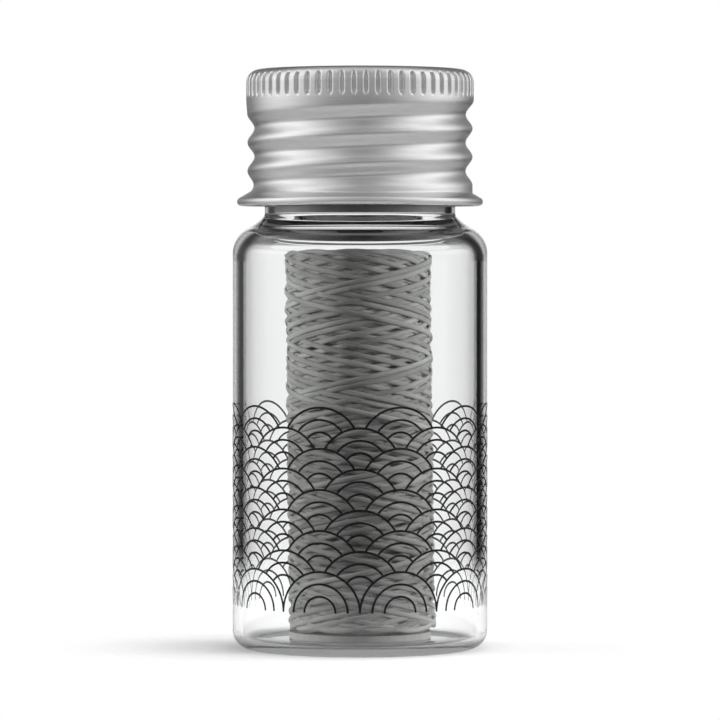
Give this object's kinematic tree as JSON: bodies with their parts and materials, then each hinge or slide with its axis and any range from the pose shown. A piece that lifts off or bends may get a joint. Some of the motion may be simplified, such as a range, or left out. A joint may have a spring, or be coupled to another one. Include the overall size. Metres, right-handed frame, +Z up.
{
  "type": "dental floss dispenser",
  "caption": "Small glass jar with an aluminium screw cap, holding a cross-wound spool of dark grey floss under a mouth plug with a floss hole and a steel cutter.",
  "frame": {"origin": "centre of the base, on the plane that the jar stands on", "axes": "+Z up along the jar's axis, -Y towards the picture's camera, +X to the right in the picture"},
  "size_m": [0.027, 0.027, 0.0612],
  "materials": {
    "glass": "clear, polished",
    "cap_aluminium": "satin",
    "liner_foam": "closed-cell foam",
    "guide_rubber": "matt",
    "cutter_steel": "stamped",
    "core_paper": "matt",
    "floss": "waxed thread"
  },
  "bodies": {
    "jar": {"glass_jar": "glass", "floss_guide": "guide_rubber", "floss_eyelet": "cutter_steel", "cutter_plate": "cutter_steel"},
    "liner": {"cap_liner": "liner_foam"},
    "cap": {"cap_shell": "cap_aluminium"},
    "spool": {"core_tube": "core_paper", "floss_package": "floss", "floss_winding": "floss"}
  },
  "joints": [
    {"name": "cap_lift", "type": "slide", "parent": "jar", "child": "liner", "axis": [0, 0, 1], "range_m": [0, 0.015]},
    {"name": "cap_turn", "type": "hinge", "parent": "liner", "child": "cap", "pos_m": [0, 0, 0.054], "axis": [0, 0, 1], "range_deg": [0, 1800]},
    {"name": "spool_turn", "type": "hinge", "parent": "jar", "child": "spool", "pos_m": [0, 0, 0.022], "axis": [0, 0, 1], "continuous": true}
  ],
  "couplings": [
    {"joint": "cap_lift", "follows": "cap_turn", "m_per_rad": 0.00047746}
  ]
}
